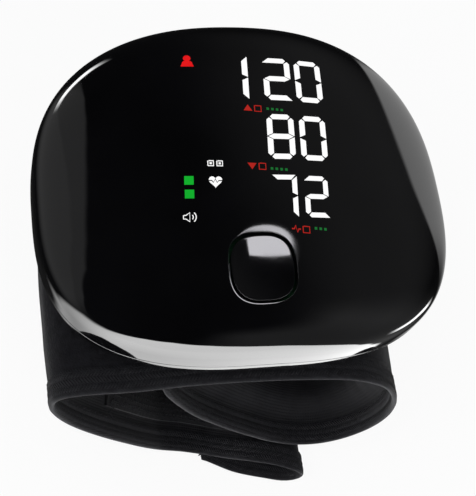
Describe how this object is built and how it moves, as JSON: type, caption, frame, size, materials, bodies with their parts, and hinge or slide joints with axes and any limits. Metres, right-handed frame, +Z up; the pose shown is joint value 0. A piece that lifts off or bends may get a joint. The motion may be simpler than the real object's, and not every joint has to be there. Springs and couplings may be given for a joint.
{
  "type": "wrist blood pressure monitor",
  "caption": "Wrist blood pressure monitor: glossy bowed case with lit readings and a start button on a curled fabric sleeve with a closing strap and pull loop.",
  "frame": {"origin": "on the surface the sleeve lies on, below the middle of the case", "axes": "+X to the display's right, +Y to its upper edge, +Z up, out of the display"},
  "size_m": [0.084, 0.0801, 0.0917],
  "materials": {
    "gloss_black": "high gloss",
    "satin_black": "satin",
    "light_guide": "frosted",
    "board": "solder mask",
    "chip": "moulded",
    "silicone": "matt",
    "steel": "plated",
    "cell_wrap": "foil",
    "pile_fabric": "short looped pile",
    "lining_fabric": "smooth knit",
    "edge_tape": "ribbed braid",
    "hook_fabric": "hook tape",
    "bladder": "matt",
    "stiffener": "sheet"
  },
  "bodies": {
    "case": {"front_shell": "gloss_black", "rear_shell": "satin_black", "display_light_guide": "light_guide", "display_board": "board", "tact_switch": "chip", "button_return_pad": "silicone", "main_board": "board", "pressure_sensor": "chip", "speaker": "steel", "charge_socket": "steel", "air_pump_motor": "steel", "air_pump_head": "chip", "release_valve": "steel", "battery_cell": "cell_wrap", "air_manifold": "silicone", "pump_tube": "silicone", "valve_tube": "silicone", "bladder_nipple": "silicone", "case_screw_1": "steel", "case_screw_2": "steel", "case_screw_3": "steel", "case_screw_4": "steel", "sleeve_mount_plate": "satin_black", "sleeve_cover_centre": "pile_fabric", "sleeve_stiffener_centre": "stiffener", "air_bladder_centre": "bladder", "sleeve_lining_centre": "lining_fabric", "edge_tape_centre_front": "edge_tape", "edge_tape_centre_rear": "edge_tape"},
    "button": {"start_button": "gloss_black", "switch_plunger": "light_guide"},
    "strap": {"strap_cover": "pile_fabric", "strap_lining": "lining_fabric", "strap_edge_tape_front": "edge_tape", "strap_edge_tape_rear": "edge_tape", "hook_patch": "hook_fabric"},
    "curl": {"curl_cover": "pile_fabric", "curl_stiffener": "stiffener", "curl_bladder": "bladder", "curl_lining": "lining_fabric", "curl_edge_tape": "edge_tape"}
  },
  "joints": [
    {"name": "button_press", "type": "slide", "parent": "case", "child": "button", "axis": [0, 0, -1], "range_m": [0, 0.0005], "stiffness_N_per_m": 1500, "springref_m": -0.0002},
    {"name": "strap_fold", "type": "hinge", "parent": "case", "child": "strap", "pos_m": [-0.03982, 0, 0.05953], "axis": [0, 1, 0], "range_deg": [0, 75]},
    {"name": "curl_fold", "type": "hinge", "parent": "case", "child": "curl", "pos_m": [0.03599, 0, 0.049], "axis": [0, 1, 0], "range_deg": [-30, 0]}
  ],
  "couplings": [
    {"joint": "curl_fold", "follows": "strap_fold", "ratio": -0.4}
  ]
}
